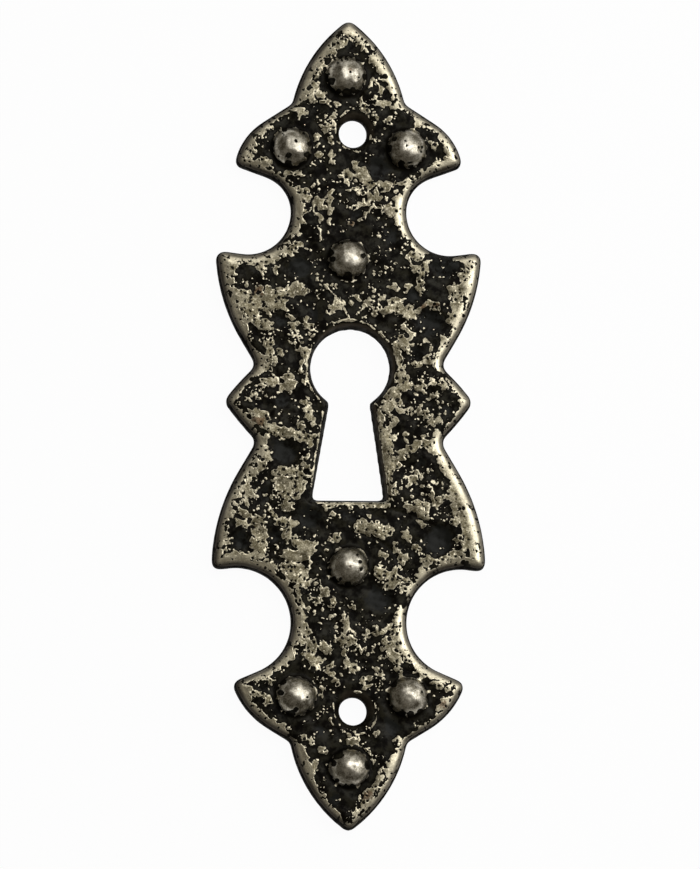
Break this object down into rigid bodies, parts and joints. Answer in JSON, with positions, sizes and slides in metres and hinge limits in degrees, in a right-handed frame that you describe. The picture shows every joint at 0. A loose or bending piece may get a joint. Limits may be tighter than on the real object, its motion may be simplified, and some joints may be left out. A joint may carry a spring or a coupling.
{
  "type": "keyhole escutcheon",
  "caption": "Long keyhole escutcheon plate with pointed finials, hooked wings and ears, a notched waist, domed studs, screw holes and a keyhole, beaten and blackened.",
  "frame": {"origin": "middle of the flat back face, which lies on the furniture", "axes": "+Y to the end that hangs uppermost on a door, +Z out of the front face, +X to the right as seen from the front"},
  "size_m": [0.0338, 0.1003, 0.0044],
  "materials": {
    "patinated_metal": "black patina rubbed back to pale pewter-coloured metal on the high places and edges"
  },
  "bodies": {
    "root": {"escutcheon_plate": "patinated_metal"}
  },
  "joints": []
}
